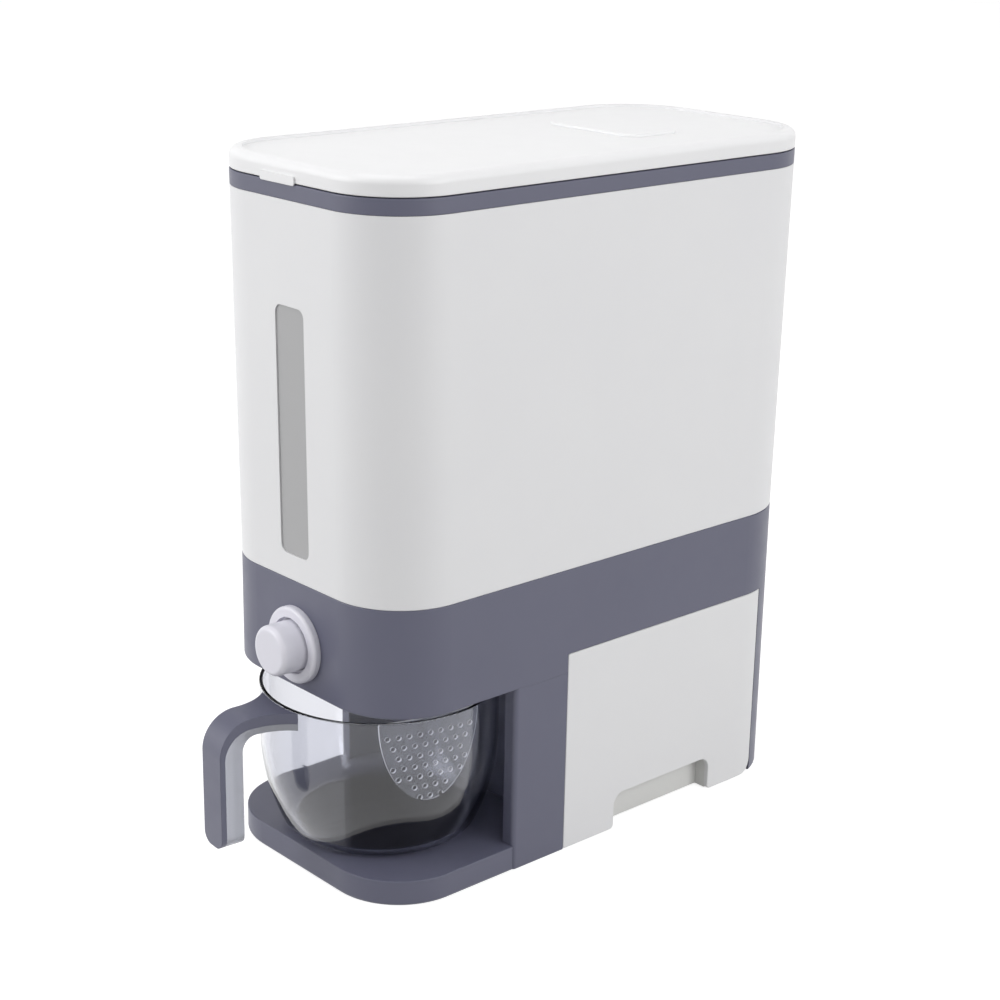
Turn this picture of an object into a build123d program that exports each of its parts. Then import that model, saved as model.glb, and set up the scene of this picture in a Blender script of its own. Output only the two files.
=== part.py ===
from build123d import *
import math
import os

os.makedirs("parts", exist_ok=True)

# A tall bin for rice on a grey base. Rice slides down a funnel to a sprung gate over an open bay,
# where a clear washing bowl stands. A drawer slides out of the rear half of the right side.
# Millimetres. X is the width, -Y is the front with the button, Z is up from the table.

# Outline of the body
body_width = 168.0
base_depth = 344.0
top_depth = 350.0
front_radius = 45.0
rear_radius = 51.0
housing_wall = 3.0
shell_wall = 2.5

# Heights of the stacked pieces
platform_height = 16.0
bay_height = 101.0
belt_height = 65.5
bin_height = 218.5
collar_height = 9.2
lid_gap = 0.6
lid_height = 11.4

# General clearances
running_gap = 0.3
seam_gap = 0.4
pin_clearance = 0.05
overlap = 0.5
edge_break = 0.6

# Bay and its pocket for the bowl
bay_depth = 95.0
pocket_width = 150.0
pocket_depth = 39.4
pocket_radius = 33.0
bay_edge_radius = 1.5

# Washing bowl
bowl_radius = 72.0
bowl_height = 92.5
bowl_wall = 2.2
bowl_setback = 61.0
bowl_straight = 60.0
knee_radius = 60.0
knee_height = 6.0
bowl_foot_radius = 51.0

# Bowl handle, an open hook: a clear core under a grey cover
bowl_turn = -4.5
handle_reach = 116.0
handle_width = 20.0
handle_root_width = 40.0
handle_bottom = 13.6
handle_arm_thickness = 10.5
handle_grip_thickness = 15.0
cover_arm_thickness = 6.5
cover_grip_thickness = 3.4
handle_bend_radius = 21.0
cover_bend_radius = 17.0
inner_bend_radius = 9.0
handle_drop = 0.5
flare_length = 24.0
handle_end_radius = 7.0

# Strainer in the bowl
strainer_angle = -12.0
strainer_distance = 63.6
strainer_radius = 162.0
strainer_thickness = 1.5
strainer_top_drop = 1.5
strainer_hole_radius = 1.6
strainer_pitch = 6.6
strainer_row_pitch = 6.6
strainer_first_row = 11.0
strainer_half_width = 31.5
strainer_depth = 53.0
strainer_margin = 2.4

# Button, its bezel and its spring
button_height = 144.5
button_radius = 15.0
button_wall = 2.2
button_protrusion = 20.0
button_length = 29.0
button_travel = 14.0
button_edge_radius = 3.2
bezel_radius = 22.9
bezel_thickness = 4.6
bezel_sleeve_wall = 2.0
bezel_sleeve_length = 13.0
bezel_edge_radius = 2.0
bezel_step = 1.8
bezel_step_depth = 3.0
rod_radius = 2.4
rod_socket_wall = 1.8
rod_socket_length = 12.0
spring_radius = 7.2
spring_wire = 1.2
spring_turns = 8

# Metering gate under the funnel
outlet_width = 40.0
outlet_length = 14.0
outlet_wall = 2.5
gate_width = 64.0
gate_length = 60.0
slide_width = 46.0
slide_thickness = 5.0
slide_shut_lap = 1.0
slide_end = 6.0
gate_cover_thickness = 3.0
gate_collar_height = 6.0
bracket_thickness = 3.0
bracket_width = 40.0
gate_screw_radius = 1.5
gate_screw_length = 8.0
gate_screw_inset = 5.0
screw_head_radius = 2.8
screw_head_height = 1.8

# Funnel in the bin
funnel_wall = 2.5
funnel_front_height = 189.0
funnel_rear_height = 288.5
funnel_inset = 4.4
funnel_rim_thickness = 2.0
funnel_rim_width = 4.0
funnel_neck_height = 8.0
ledge_thickness = 3.0
ledge_inset = 8.0
outlet_corner = 3.0

# Window strip in the front of the bin
window_width = 26.0
window_height = 144.5
window_bottom = 198.0
window_corner = 5.0
window_recess = 0.8
window_flange = 4.0
window_flange_thickness = 1.5
window_fit = 0.1

# Collar on the bin's rim, and the hinge at its rear
collar_inset = 6.0
collar_skirt_height = 10.0
collar_skirt_wall = 2.5
hinge_outset = 5.5
hinge_rise = 1.0
hinge_barrel_radius = 4.0
hinge_pin_radius = 2.0
lid_knuckle_width = 35.0
ear_width = 12.0
ear_gap = 0.5

# Lid
lid_wall = 2.2
lid_edge_radius = 5.0
lid_border = 7.5
lid_recess = 1.8
plug_inset = 8.8
plug_wall = 2.0
plug_depth = 8.0
seal_height = 3.0
tab_width = 31.0
tab_centre = -7.0
tab_reach = 1.0
tab_drop = 1.2
tab_height = 5.0
tab_radius = 1.5

# Desiccant holder in the lid
pad_width = 76.0
pad_length = 42.0
pad_height = 1.8
pad_corner = 9.0
pad_centre = 70.0
pad_edge_radius = 1.5
basket_border = 5.0
basket_depth = 12.0
basket_wall = 1.5
basket_flange = 3.0
basket_flange_thickness = 0.8
plug_lip = 2.0
basket_slots = 8
basket_slot_width = 2.4

# Drawer
drawer_front_edge = -35.0
drawer_rear_edge = 137.0
drawer_panel_bottom = 0.5
drawer_panel_height = 128.2
drawer_panel_thickness = 3.0
drawer_panel_radius = 1.5
drawer_panel_rear_radius = 9.0
drawer_box_wall = 2.2
drawer_box_height = 114.0
drawer_side_gap = 6.5
drawer_back_gap = 3.0
drawer_screw_tip_gap = 0.2
notch_width = 86.0
notch_height = 23.0
notch_depth = 11.0
notch_radius = 8.0
notch_mouth_radius = 3.0
notch_wall_bottom = 1.0
runner_width = 6.0
runner_height = 1.6
drawer_screw_radius = 1.5
drawer_screw_length = 4.4
drawer_screw_spacing = 100.0

# Base plate, its feet and screws
pan_thickness = 3.0
pan_chamfer = 1.5
foot_radius = 9.0
foot_recess = 1.2
foot_x = 52.0
foot_front_y = -132.0
foot_rear_y = 128.0
screw_radius = 1.6
screw_length = 12.0
base_screw_head_radius = 3.2
pocket_screw_inset = 5.0
pocket_screw_side = 14.0
rear_boss_x = 40.0
rear_boss_radius = 4.5
rear_boss_height = 30.0
lip_width = 2.5
lip_height = 3.0
lip_root = 8.0
bottom_edge_radius = 2.5
column_edge_radius = 3.0
column_foot_radius = 1.2

# Heights and places worked out from the sizes above
base_bottom = 0.0
platform_top = base_bottom + platform_height
bay_ceiling = platform_top + bay_height
seam = bay_ceiling + belt_height
collar_bottom = seam + bin_height
collar_top = collar_bottom + collar_height
lid_bottom = collar_top + lid_gap
lid_top = lid_bottom + lid_height
base_front = -base_depth / 2
bay_rear = base_front + bay_depth
pocket_rear = bay_rear + pocket_depth
bowl_y = base_front + bowl_setback
pan_top = base_bottom + pan_thickness
panel_top = drawer_panel_bottom + drawer_panel_height
notch_middle = (drawer_front_edge + drawer_rear_edge) / 2
notch_top = drawer_panel_bottom + notch_height
drawer_ceiling = panel_top + seam_gap
deck_top = drawer_ceiling + housing_wall
belt_floor = bay_ceiling + housing_wall
outer_x = body_width / 2
panel_inner = outer_x - drawer_panel_thickness
boss_y = base_depth / 2 - housing_wall - rear_boss_radius + overlap
screw_places = [
    (side * x, y)
    for side in (-1, 1)
    for x, y in ((outer_x - pocket_screw_side, pocket_rear - pocket_screw_inset), (rear_boss_x, boss_y))
]
wide = body_width + base_depth


def depth_at(height):
    # The base is straight; above the seam the body widens evenly to the collar's top.
    share = max(0.0, (height - seam) / (collar_top - seam))
    return base_depth + (top_depth - base_depth) * share


def body_outline(depth, inset, mode=Mode.ADD):
    # A rounded rectangle with one radius at the front and a larger one at the rear.
    x = outer_x - inset
    y = depth / 2 - inset
    front = front_radius - inset
    rear = rear_radius - inset
    with BuildLine() as outline:
        Line((x, front - y), (x, y - rear))
        TangentArc((x, y - rear), (x - rear, y), tangent=(0, 1))
        Line((x - rear, y), (rear - x, y))
        TangentArc((rear - x, y), (-x, y - rear), tangent=(-1, 0))
        Line((-x, y - rear), (-x, front - y))
        TangentArc((-x, front - y), (front - x, -y), tangent=(0, -1))
        Line((front - x, -y), (x - front, -y))
        TangentArc((x - front, -y), (x, front - y), tangent=(1, 0))
    make_face(outline.edges(), mode=mode)


def straight_block(low, high, depth, inset, mode=Mode.ADD):
    # The body's outline, pulled in by the inset and raised between two heights.
    with BuildSketch(Plane.XY.offset(low)) as outline:
        body_outline(depth, inset)
    extrude(outline.sketch, amount=high - low, mode=mode)


def taper_block(low, high, inset, mode=Mode.ADD):
    # The same outline where the body widens with height.
    sections = []
    for height in (low, high):
        with BuildSketch(Plane.XY.offset(height)) as outline:
            body_outline(depth_at(height), inset)
        sections.append(outline.sketch)
    loft(sections, mode=mode)


def box_between(low_corner, high_corner, mode=Mode.SUBTRACT):
    # A plain block between two corners.
    low_x, low_y, low_z = low_corner
    high_x, high_y, high_z = high_corner
    with BuildSketch(Plane.XY.offset(low_z)) as outline:
        with Locations(((low_x + high_x) / 2, (low_y + high_y) / 2)):
            Rectangle(high_x - low_x, high_y - low_y)
    extrude(outline.sketch, amount=high_z - low_z, mode=mode)


def pocket_outline(gap):
    # The bay's recess in the rear column, with its two rounded inner corners.
    reach = 2 * pocket_depth
    with Locations((0, pocket_rear - gap - reach / 2)):
        RectangleRounded(pocket_width - 2 * gap, reach, pocket_radius - gap)


def break_outline(piece, height, radius=edge_break):
    # Rounds the outer edges of a piece at one height.
    level = piece.edges().filter_by_position(Axis.Z, height, height)
    outer = [edge for edge in level if on_outline(edge)]
    fillet(outer, radius=radius)


def on_outline(edge):
    # True where an edge's middle lies on the body's outline.
    middle = edge @ 0.5
    half_depth = depth_at(middle.Z) / 2
    radius = rear_radius if middle.Y > 0 else front_radius
    beyond_x = abs(middle.X) - outer_x + radius
    beyond_y = abs(middle.Y) - half_depth + radius
    if beyond_x > 0 and beyond_y > 0:
        return abs(math.hypot(beyond_x, beyond_y) - radius) < pin_clearance
    return abs(abs(middle.X) - outer_x) < pin_clearance or abs(abs(middle.Y) - half_depth) < pin_clearance


def save(piece, name):
    piece.part.label = name
    export_step(piece.part, f"parts/{name}.step")


# The housing's moulding: the grey belt over the bay and the column behind it
with BuildPart() as housing_moulding:
    straight_block(bay_ceiling, seam, base_depth, 0)
    fillet(housing_moulding.edges().group_by(Axis.Z)[0], radius=bay_edge_radius)
    with BuildSketch(Plane.XY.offset(base_bottom)):
        body_outline(base_depth, 0)
        with Locations((0, bay_rear + wide / 2)):
            Rectangle(wide, wide, mode=Mode.INTERSECT)
    column = extrude(amount=bay_ceiling + bay_edge_radius - base_bottom, mode=Mode.PRIVATE)
    column_front = column.edges().filter_by(Axis.Z).group_by(Axis.Y)[0]
    column = column.fillet(column_edge_radius, column_front)
    column_foot = column.edges().group_by(Axis.Z)[0].filter_by(lambda edge: edge.center().Y > bay_rear + 1)
    add(column.fillet(column_foot_radius, column_foot))
    # belt cavity over the deck, then over the bay
    straight_block(deck_top, seam, base_depth, housing_wall, Mode.SUBTRACT)
    with BuildSketch(Plane.XY.offset(belt_floor)):
        body_outline(base_depth, housing_wall)
        with Locations((0, pocket_rear - wide / 2)):
            Rectangle(wide, wide, mode=Mode.INTERSECT)
    extrude(amount=deck_top - belt_floor, mode=Mode.SUBTRACT)
    # pocket behind the open bay
    with BuildSketch(Plane.XY.offset(base_bottom)):
        pocket_outline(0)
    extrude(amount=bay_ceiling - base_bottom, mode=Mode.SUBTRACT)
    # drawer cavity, open on the right side and below
    box_between(
        (-outer_x + housing_wall, drawer_front_edge - seam_gap, base_bottom),
        (wide, drawer_rear_edge + seam_gap, drawer_ceiling),
    )
    # hollow behind the drawer
    with BuildSketch(Plane.XY.offset(base_bottom)):
        body_outline(base_depth, housing_wall)
        with Locations((0, drawer_rear_edge + seam_gap + housing_wall + wide / 2)):
            Rectangle(wide, wide, mode=Mode.INTERSECT)
    extrude(amount=drawer_ceiling - base_bottom, mode=Mode.SUBTRACT)
    # recess for the base plate's rear floor
    with BuildSketch(Plane.XY.offset(base_bottom)):
        body_outline(base_depth, housing_wall)
        with Locations((0, bay_rear + wide / 2)):
            Rectangle(wide, wide, mode=Mode.INTERSECT)
    extrude(amount=pan_thickness, mode=Mode.SUBTRACT)
    # screw bosses on the rear wall
    with BuildSketch(Plane.XY.offset(pan_top)):
        with Locations((-rear_boss_x, boss_y), (rear_boss_x, boss_y)):
            Circle(rear_boss_radius)
    extrude(amount=rear_boss_height)
    # pilot holes for the base screws
    with BuildSketch(Plane.XY.offset(pan_top)):
        with Locations(*screw_places):
            Circle(screw_radius)
    extrude(amount=screw_length, mode=Mode.SUBTRACT)
    # rice outlet through the bay's ceiling
    with BuildSketch(Plane.XY.offset(bay_ceiling)):
        with Locations((0, bowl_y)):
            RectangleRounded(
                outlet_width + 2 * (outlet_wall + running_gap),
                outlet_length + 2 * (outlet_wall + running_gap),
                outlet_corner,
            )
    extrude(amount=housing_wall, mode=Mode.SUBTRACT)
    # hole for the button bezel's sleeve
    with BuildSketch(Plane.XZ.offset(-base_front - housing_wall - overlap)):
        with Locations((0, button_height)):
            Circle(button_radius + running_gap + bezel_sleeve_wall + running_gap)
    extrude(amount=housing_wall + 2 * overlap, mode=Mode.SUBTRACT)
    # lip that locates the bin on the belt
    with BuildSketch(Plane.XY.offset(seam - lip_root)):
        body_outline(base_depth, shell_wall + running_gap)
        body_outline(base_depth, shell_wall + running_gap + lip_width, Mode.SUBTRACT)
    extrude(amount=lip_root + lip_height)
    break_outline(housing_moulding, seam)

# Its upper part, the belt with the bay's ceiling
with BuildPart() as base_housing:
    add(housing_moulding.part)
    split(bisect_by=Plane.XY.offset(bay_ceiling), keep=Keep.TOP)
save(base_housing, "base_housing")

# Its lower part, the column round the pocket and the drawer
with BuildPart() as base_column:
    add(housing_moulding.part)
    split(bisect_by=Plane.XY.offset(bay_ceiling), keep=Keep.BOTTOM)
save(base_column, "base_column")

# Base plate: the platform under the bowl and the thin floor under the drawer
with BuildPart() as base_plate:
    with BuildSketch(Plane.XY.offset(base_bottom)):
        body_outline(base_depth, 0)
        with Locations((0, bay_rear - wide / 2)):
            Rectangle(wide, wide, mode=Mode.INTERSECT)
        with Locations((0, bay_rear + (pocket_depth - running_gap) / 2 - pocket_radius)):
            RectangleRounded(
                pocket_width - 2 * running_gap,
                pocket_depth - running_gap + 2 * pocket_radius,
                pocket_radius - running_gap,
            )
    extrude(amount=platform_height)
    # rounded lower edge along the front outline
    lower_edges = base_plate.edges().filter_by_position(Axis.Z, base_bottom, base_bottom)
    front_edges = lower_edges.filter_by(lambda edge: edge.center().Y < bay_rear - overlap)
    fillet(front_edges, radius=bottom_edge_radius)
    upper_edges = base_plate.edges().filter_by_position(Axis.Z, platform_top, platform_top)
    fillet(upper_edges.filter_by(lambda edge: edge.center().Y < bay_rear - overlap), radius=edge_break)
    # hollow underside
    with BuildSketch(Plane.XY.offset(base_bottom)):
        body_outline(base_depth, bottom_edge_radius + housing_wall)
        with Locations((0, bay_rear - housing_wall - wide / 2)):
            Rectangle(wide, wide, mode=Mode.INTERSECT)
    extrude(amount=platform_height - housing_wall, mode=Mode.SUBTRACT)
    # rear floor inside the housing's walls
    with BuildSketch(Plane.XY.offset(base_bottom)):
        body_outline(base_depth, housing_wall + running_gap)
        with Locations((0, bay_rear + running_gap + wide / 2)):
            Rectangle(wide, wide, mode=Mode.INTERSECT)
    rear_floor = extrude(amount=pan_thickness, mode=Mode.PRIVATE)
    floor_edges = rear_floor.edges().group_by(Axis.Z)[0]
    rear_edges = floor_edges.filter_by(lambda edge: edge.center().Y > bay_rear + 1)
    add(rear_floor.chamfer(pan_chamfer, pan_chamfer, rear_edges))
    # bosses that carry the front feet
    with BuildSketch(Plane.XY.offset(base_bottom)):
        with Locations((-foot_x, foot_front_y), (foot_x, foot_front_y)):
            Circle(foot_radius + housing_wall)
    extrude(amount=platform_height - overlap)
    with BuildSketch(Plane.XY.offset(base_bottom)):
        for foot_y in (foot_front_y, foot_rear_y):
            with Locations((-foot_x, foot_y), (foot_x, foot_y)):
                Circle(foot_radius + running_gap)
    extrude(amount=foot_recess, mode=Mode.SUBTRACT)
    # room for the drawer's finger recess
    box_between(
        (
            outer_x - notch_depth - drawer_box_wall - running_gap,
            notch_middle - notch_width / 2 - drawer_box_wall - running_gap,
            base_bottom,
        ),
        (wide, notch_middle + notch_width / 2 + drawer_box_wall + running_gap, pan_top),
    )
    # clearance holes and head recesses of the base screws
    for radius, height in (
        (screw_radius + running_gap, pan_thickness),
        (base_screw_head_radius + running_gap, screw_head_height),
    ):
        with BuildSketch(Plane.XY.offset(base_bottom)):
            with Locations(*screw_places):
                Circle(radius)
        extrude(amount=height, mode=Mode.SUBTRACT)
save(base_plate, "base_plate")

# Four rubber feet, set flush into the base plate's recesses
with BuildPart() as rubber_feet:
    with BuildSketch(Plane.XY.offset(base_bottom)):
        for foot_y in (foot_front_y, foot_rear_y):
            with Locations((-foot_x, foot_y), (foot_x, foot_y)):
                Circle(foot_radius)
    extrude(amount=foot_recess)
save(rubber_feet, "rubber_feet")

# Four screws that hold the base plate to the housing
with BuildPart() as base_screws:
    with BuildSketch(Plane.XY.offset(base_bottom)):
        with Locations(*screw_places):
            Circle(base_screw_head_radius)
    extrude(amount=screw_head_height)
    with BuildSketch(Plane.XY.offset(base_bottom)):
        with Locations(*screw_places):
            Circle(screw_radius - pin_clearance)
    extrude(amount=pan_thickness + screw_length - overlap)
save(base_screws, "base_screws")

# Bin shell, with the ledge that carries the funnel and the window's opening
ledge_middle = (funnel_front_height + funnel_rear_height) / 2
shell_mid_depth = depth_at(ledge_middle)
ledge_tilt = math.degrees(math.atan2(funnel_rear_height - funnel_front_height, shell_mid_depth))
ledge_plane = Plane(
    origin=(0, 0, ledge_middle),
    x_dir=(1, 0, 0),
    z_dir=(0, -math.sin(math.radians(ledge_tilt)), math.cos(math.radians(ledge_tilt))),
)


def tilted_outline(inset, mode=Mode.ADD):
    # Drawn on the funnel's tilted rim plane, this stands over the body's outline in plan.
    stretch = 1 / math.cos(math.radians(ledge_tilt))
    body_outline(shell_mid_depth * stretch - 2 * inset * (stretch - 1), inset, mode)


front_lean = math.degrees(math.atan2((top_depth - base_depth) / 2, collar_top - seam))
window_middle = window_bottom + window_height / 2
window_plane = Plane(
    origin=(0, -depth_at(window_middle) / 2, window_middle),
    x_dir=(1, 0, 0),
    z_dir=(0, -math.cos(math.radians(front_lean)), -math.sin(math.radians(front_lean))),
)

with BuildPart() as outer_shell:
    taper_block(seam, collar_bottom, 0)
    taper_block(seam, collar_bottom, shell_wall, Mode.SUBTRACT)
    with BuildSketch(ledge_plane.offset(-ledge_thickness)):
        tilted_outline(shell_wall / 2)
        tilted_outline(ledge_inset, Mode.SUBTRACT)
    extrude(amount=ledge_thickness)
    with BuildSketch(window_plane.offset(-2 * shell_wall)):
        RectangleRounded(window_width, window_height, window_corner)
    extrude(amount=3 * shell_wall, mode=Mode.SUBTRACT)
    break_outline(outer_shell, seam)
save(outer_shell, "outer_shell")

# Window strip, held behind the opening by its flange
with BuildPart() as window_strip:
    with BuildSketch(window_plane.offset(-shell_wall)):
        RectangleRounded(
            window_width - 2 * window_fit, window_height - 2 * window_fit, window_corner - window_fit
        )
    extrude(amount=shell_wall - window_recess)
    with BuildSketch(window_plane.offset(-shell_wall - window_flange_thickness)):
        RectangleRounded(
            window_width + 2 * window_flange, window_height + 2 * window_flange, window_corner + window_flange
        )
    extrude(amount=window_flange_thickness)
save(window_strip, "window_strip")

# Funnel: from the tilted rim down to the neck over the gate
slide_bottom = button_height - slide_thickness / 2
slide_top = button_height + slide_thickness / 2
cover_bottom = slide_top + running_gap
cover_top = cover_bottom + gate_cover_thickness
neck_bottom = cover_top + running_gap
neck_top = neck_bottom + funnel_neck_height


def outlet_outline(grow, mode=Mode.ADD):
    with Locations((0, bowl_y)):
        RectangleRounded(outlet_width + 2 * grow, outlet_length + 2 * grow, outlet_corner + grow, mode=mode)


with BuildPart() as hopper_funnel:
    for grow, inset, mode in (
        (funnel_wall, funnel_inset + funnel_rim_width, Mode.ADD),
        (0, funnel_inset + funnel_rim_width + funnel_wall, Mode.SUBTRACT),
    ):
        with BuildSketch(Plane.XY.offset(neck_top)):
            outlet_outline(grow)
        with BuildSketch(ledge_plane):
            tilted_outline(inset)
        loft(mode=mode)
    with BuildSketch(Plane.XY.offset(neck_bottom)):
        outlet_outline(funnel_wall)
        outlet_outline(0, Mode.SUBTRACT)
    extrude(amount=funnel_neck_height)
    with BuildSketch(ledge_plane):
        tilted_outline(funnel_inset)
        tilted_outline(funnel_inset + funnel_rim_width + funnel_wall, Mode.SUBTRACT)
    extrude(amount=funnel_rim_thickness)
save(hopper_funnel, "hopper_funnel")

# Gate body: guides the metering slide and drops the rice through the bay's ceiling
gate_rear = bowl_y + gate_length / 2 - slide_shut_lap
gate_front = gate_rear - gate_length
gate_middle = (gate_front + gate_rear) / 2
gate_screw_places = [
    (x_side * (gate_width / 2 - gate_screw_inset), gate_middle + y_side * (gate_length / 2 - gate_screw_inset))
    for x_side in (-1, 1)
    for y_side in (-1, 1)
]
rail_depth = 2 * outlet_wall
with BuildPart() as gate_body:
    box_between(
        (-gate_width / 2, gate_front, belt_floor), (gate_width / 2, gate_rear, cover_bottom), Mode.ADD
    )
    # hollow underside round the chute
    with BuildSketch(Plane.XY.offset(belt_floor)):
        with Locations((0, gate_middle)):
            Rectangle(gate_width - 2 * outlet_wall, gate_length - 2 * outlet_wall)
        outlet_outline(outlet_wall, Mode.SUBTRACT)
    extrude(amount=slide_bottom - rail_depth - belt_floor, mode=Mode.SUBTRACT)
    # chute, which reaches down through the bay's ceiling
    with BuildSketch(Plane.XY.offset(bay_ceiling)):
        outlet_outline(outlet_wall)
    extrude(amount=housing_wall)
    with BuildSketch(Plane.XY.offset(bay_ceiling)):
        outlet_outline(0)
    extrude(amount=cover_bottom - bay_ceiling, mode=Mode.SUBTRACT)
    # channel of the slide
    box_between(
        (-slide_width / 2 - running_gap, gate_front, slide_bottom),
        (slide_width / 2 + running_gap, gate_rear, cover_bottom),
    )
    with BuildSketch(Plane.XY.offset(cover_bottom)):
        with Locations(*gate_screw_places):
            Circle(gate_screw_radius)
    extrude(amount=-gate_screw_length, mode=Mode.SUBTRACT)
save(gate_body, "gate_body")

# Gate cover, with the collar that takes the funnel's neck
with BuildPart() as gate_cover:
    box_between(
        (-gate_width / 2, gate_front, cover_bottom), (gate_width / 2, gate_rear, cover_top), Mode.ADD
    )
    with BuildSketch(Plane.XY.offset(cover_top)):
        outlet_outline(funnel_wall + running_gap + outlet_wall)
        outlet_outline(funnel_wall + running_gap, Mode.SUBTRACT)
    extrude(amount=gate_collar_height)
    with BuildSketch(Plane.XY.offset(cover_bottom)):
        outlet_outline(0)
        with Locations(*gate_screw_places):
            Circle(gate_screw_radius + running_gap)
    extrude(amount=gate_cover_thickness, mode=Mode.SUBTRACT)
save(gate_cover, "gate_cover")

# Four screws through the gate cover
with BuildPart() as gate_screws:
    with BuildSketch(Plane.XY.offset(cover_top)):
        with Locations(*gate_screw_places):
            Circle(screw_head_radius)
    extrude(amount=screw_head_height)
    with BuildSketch(Plane.XY.offset(cover_top)):
        with Locations(*gate_screw_places):
            Circle(gate_screw_radius - pin_clearance)
    extrude(amount=-(gate_cover_thickness + gate_screw_length - overlap))
save(gate_screws, "gate_screws")

# Metering slide: a plate whose slot lies ahead of the chute until the button pushes it back
slot_front = bowl_y - outlet_length / 2 - button_travel
slide_front = slot_front - slide_end
slide_rear = bowl_y + outlet_length / 2 + 3 * slide_shut_lap
button_front = base_front - button_protrusion
button_inner = button_front + button_wall
with BuildPart() as metering_slide:
    box_between(
        (-slide_width / 2, slide_front, slide_bottom), (slide_width / 2, slide_rear, slide_top - pin_clearance),
        Mode.ADD,
    )
    with BuildSketch(Plane.XY.offset(slide_bottom)):
        with Locations((0, slot_front + outlet_length / 2)):
            RectangleRounded(outlet_width, outlet_length, outlet_corner)
    extrude(amount=slide_thickness, mode=Mode.SUBTRACT)
    with BuildSketch(Plane.XZ.offset(-slide_front - overlap)):
        with Locations((0, button_height)):
            Circle(rod_radius)
    extrude(amount=slide_front + overlap - button_inner - overlap)
save(metering_slide, "metering_slide")

# Bracket on the gate's front: the spring's seat and the push rod's rear guide
with BuildPart() as spring_bracket:
    box_between(
        (-bracket_width / 2, gate_front - bracket_thickness, belt_floor),
        (bracket_width / 2, gate_front, button_height + button_radius),
        Mode.ADD,
    )
    with BuildSketch(Plane.XZ.offset(-gate_front)):
        with Locations((0, button_height)):
            Circle(rod_radius + running_gap)
    extrude(amount=bracket_thickness, mode=Mode.SUBTRACT)
save(spring_bracket, "spring_bracket")

# Button: a hollow cap with a socket for the push rod
with BuildPart() as button_cap:
    with BuildSketch(Plane.XZ.offset(-button_front)):
        with Locations((0, button_height)):
            Circle(button_radius)
    extrude(amount=-button_length)
    fillet(button_cap.edges().group_by(Axis.Y)[0], radius=button_edge_radius)
    with BuildSketch(Plane.XZ.offset(-button_inner)):
        with Locations((0, button_height)):
            Circle(button_radius - button_wall)
    extrude(amount=-(button_length - button_wall), mode=Mode.SUBTRACT)
    with BuildSketch(Plane.XZ.offset(-button_inner)):
        with Locations((0, button_height)):
            Circle(rod_radius + pin_clearance + rod_socket_wall)
            Circle(rod_radius + pin_clearance, mode=Mode.SUBTRACT)
    extrude(amount=-rod_socket_length)
save(button_cap, "button_cap")

# Bezel: the ring round the button, with a sleeve through the housing's front wall
with BuildPart() as button_bezel:
    with BuildSketch(Plane.XZ.offset(-base_front)):
        with Locations((0, button_height)):
            Circle(bezel_radius)
    extrude(amount=bezel_thickness)
    fillet(button_bezel.edges().group_by(Axis.Y)[0], radius=bezel_edge_radius)
    with BuildSketch(Plane.XZ.offset(-base_front)):
        with Locations((0, button_height)):
            Circle(button_radius + running_gap + bezel_sleeve_wall)
    extrude(amount=-bezel_sleeve_length)
    with BuildSketch(Plane.XZ.offset(-base_front + bezel_thickness)):
        with Locations((0, button_height)):
            Circle(button_radius + running_gap)
    extrude(amount=-(bezel_thickness + bezel_sleeve_length), mode=Mode.SUBTRACT)
    with BuildSketch(Plane.XZ.offset(-base_front + bezel_thickness)):
        with Locations((0, button_height)):
            Circle(button_radius + bezel_step)
    extrude(amount=-bezel_step_depth, mode=Mode.SUBTRACT)
save(button_bezel, "button_bezel")

# Return spring between the button and the bracket: one wire, wound on quarter-turn arcs
spring_start = button_inner
spring_end = gate_front - bracket_thickness
spring_reach = spring_end - spring_start - spring_wire


def on_spring(quarters):
    angle = quarters * math.pi / 2
    along = spring_start + spring_wire / 2 + spring_reach * quarters / (4 * spring_turns)
    return (spring_radius * math.cos(angle), along, button_height + spring_radius * math.sin(angle))


with BuildPart() as return_spring:
    with BuildLine():
        for quarter in range(4 * spring_turns):
            ThreePointArc(on_spring(quarter), on_spring(quarter + 0.5), on_spring(quarter + 1))
    wire_start = Vector(*on_spring(0))
    with BuildSketch(Plane(origin=wire_start, z_dir=return_spring.pending_edges_as_wire % 0)):
        Circle(spring_wire / 2)
    sweep()
save(return_spring, "return_spring")
print("spring gap between turns", round(spring_reach / spring_turns - spring_wire, 2))

# Collar on the bin's rim, with the two rear ears of the hinge
hinge_y = top_depth / 2 + hinge_outset
hinge_z = collar_top + hinge_rise


def hinge_block(width, centre_x, web, mode=Mode.ADD):
    # A barrel on the hinge axis with its web, a list of points in the side view.
    with BuildSketch(Plane.YZ.offset(centre_x - width / 2)) as side_view:
        Polygon(*web, align=None)
        with Locations((hinge_y, hinge_z)):
            Circle(hinge_barrel_radius)
    extrude(side_view.sketch, amount=width, mode=mode)


def hinge_bore(mode=Mode.SUBTRACT):
    with BuildSketch(Plane.YZ.offset(-outer_x)) as bore:
        with Locations((hinge_y, hinge_z)):
            Circle(hinge_pin_radius + pin_clearance)
    extrude(bore.sketch, amount=body_width, mode=mode)


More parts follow.
